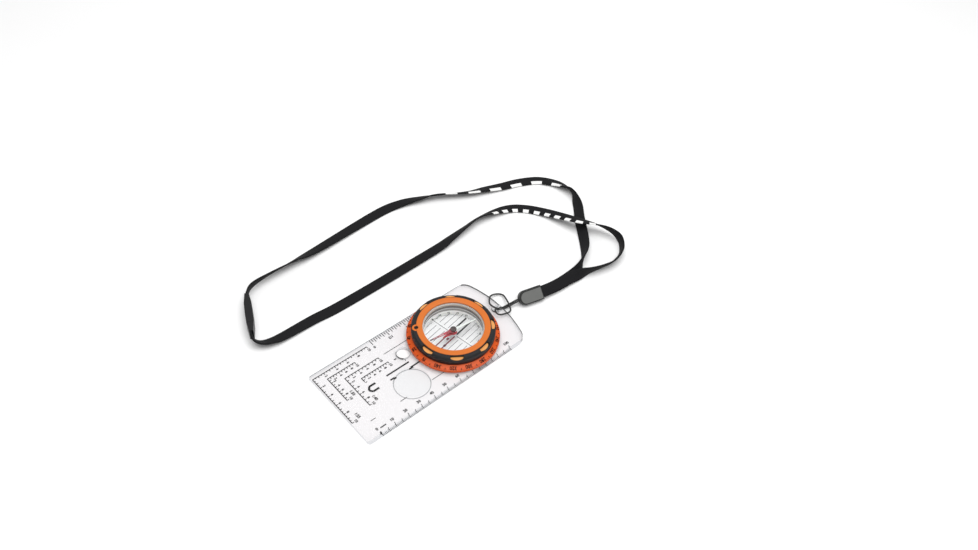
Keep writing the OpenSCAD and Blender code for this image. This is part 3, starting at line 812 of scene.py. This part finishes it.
def clinometer_scale(ink):
    """Marks each ten degrees round the south half, and figures from 10 to 90 each way."""
    inner, outer, figures_r = 15, 15.8, 17
    for degree in range(90, 271, 10):
        a = math.radians(degree)
        ink.bar((inner * math.sin(a), inner * math.cos(a)),
                (outer * math.sin(a), outer * math.cos(a)), 0.18)
        if degree % 20 == 10:
            ink.figures(str(abs(180 - degree)),
                        (figures_r * math.sin(a), figures_r * math.cos(a)), 1.7, 180 - degree)


def capsule_prints(black):
    ink = Ink(on_dial)
    clinometer_scale(ink)
    ink.build("clinometer_scale", CUP_FLOOR_Z + INK_LIFT, black, "dial")


# ---------------------------------------------------------------- the CAD nodes' finishes
def dress(node, material, round_off=0):
    """Gives a CAD node its material and, if asked, slightly rounded edges."""
    piece = nodes[node]
    for spot in piece.material_slots:
        spot.material = material
    if round_off:
        weld = piece.modifiers.new("weld", "WELD")
        weld.merge_threshold = 0.002 * MM
        soft = piece.modifiers.new("round_off", "BEVEL")
        soft.width = round_off
        soft.segments = 2
        soft.limit_method = "ANGLE"
        soft.angle_limit = math.radians(40)
        soft.use_clamp_overlap = True
        soft.harden_normals = True


def dress_nodes():
    lid = clear("lid_clear", (0.998, 0.999, 1), 0.01, 1.35)
    black = moulded("black_plastic", (0.008, 0.008, 0.009), 0.4, specular=0.3)
    pale = moulded("pale_plastic", (0.6, 0.6, 0.58), 0.5)
    dress("baseplate", plate_material())
    dress("capsule_cup", capsule_material())
    dress("capsule_lid", lid)
    dress("orienting_disc", clear("disc_clear", (0.998, 0.999, 1), 0.01, 1.1))
    dress("dial_ring", dial_material())
    dress("grip_ring", moulded("grip_rubber", (0.01, 0.01, 0.011), 0.5, 1200, 0.00004,
                               specular=0.3), 0.25 * MM)
    dress("bezel_ring", bezel_material(), 0.12 * MM)
    dress("adjusting_screw", moulded("screw_dark", (0.03, 0.02, 0.015), 0.4, metallic=0.6))
    dress("capsule_seal", pale)
    dress("friction_washer", pale)
    dress("retaining_ring", black)
    dress("pivot_pin", moulded("pin_steel", (0.6, 0.6, 0.62), 0.3, metallic=1))
    dress("needle_blade", needle_material())
    dress("needle_cap", moulded("cap_dark", (0.03, 0.012, 0.012), 0.3), 0.1 * MM)
    dress("needle_jewel", moulded("jewel", (0.7, 0.5, 0.55), 0.1))
    dress("clinometer_arrow", moulded("arrow_red", (0.6, 0.008, 0.03), 0.35))
    dress("ferrule_front", ferrule_material(), 0.35 * MM)
    dress("ferrule_back", black, 0.35 * MM)
    for node in ("clip_socket", "clip_plug"):
        dress(node, black, 0.3 * MM)


# ---------------------------------------------------------------- stage
def add_floor():
    size = 12
    points = [(-size, -size, 0), (size, -size, 0), (size, size, 0), (-size, size, 0)]
    floor = add_mesh("floor", points, [(0, 1, 2, 3)], floor_material(), None)
    floor.location.z = -FLOOR_GAP


def add_lamp(name, at, size, power):
    data = bpy.data.lights.new(name, "AREA")
    data.size, data.energy = size, power
    lamp = bpy.data.objects.new(name, data)
    lamp.location = at
    lamp.rotation_euler = (DIAL - Vector(at)).to_track_quat("-Z", "Y").to_euler()
    bpy.context.scene.collection.objects.link(lamp)


def light_scene():
    world = bpy.data.worlds.new("studio")
    world.use_nodes = True
    sky = world.node_tree.nodes["Background"]
    sky.inputs["Color"].default_value = (1, 1, 1, 1)
    sky.inputs["Strength"].default_value = 0.55
    bpy.context.scene.world = world
    bpy.context.scene.view_settings.view_transform = "Standard"
    add_lamp("key", (-0.15, -0.05, 1), 1, 10)
    add_lamp("fill", (0.7, -0.6, 0.8), 0.8, 0.6)


# ---------------------------------------------------------------- the scene
add_camera()
string, string_path = string_tube()
ribbon_a, path_a = ribbon("ribbon_a_cloth", RIBBON_A, woven("woven_a", MARKS_A), None)
ribbon_b, path_b = ribbon("ribbon_b_cloth", RIBBON_B, woven("woven_b", MARKS_B), "root")
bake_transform(ribbon_a)
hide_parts("string_loop")
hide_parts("ribbon_a")
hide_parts("ribbon_b")
ink_black = moulded("ink_black", (0.006, 0.006, 0.007), 0.6, specular=0.05)
# A grey for the painted shade round the lens and the marking hole.
painted_edge_shade = moulded("painted_edge_shade", (0.4, 0.41, 0.42), 0.6, specular=0.05)
ink_red = moulded("ink_red", (0.16, 0.003, 0.02), 0.6, specular=0.05)
plate_prints(ink_black, painted_edge_shade)
dial_prints(ink_black)
orienting_lines(ink_black, ink_red)
capsule_prints(ink_black)
dress_nodes()
add_floor()
light_scene()
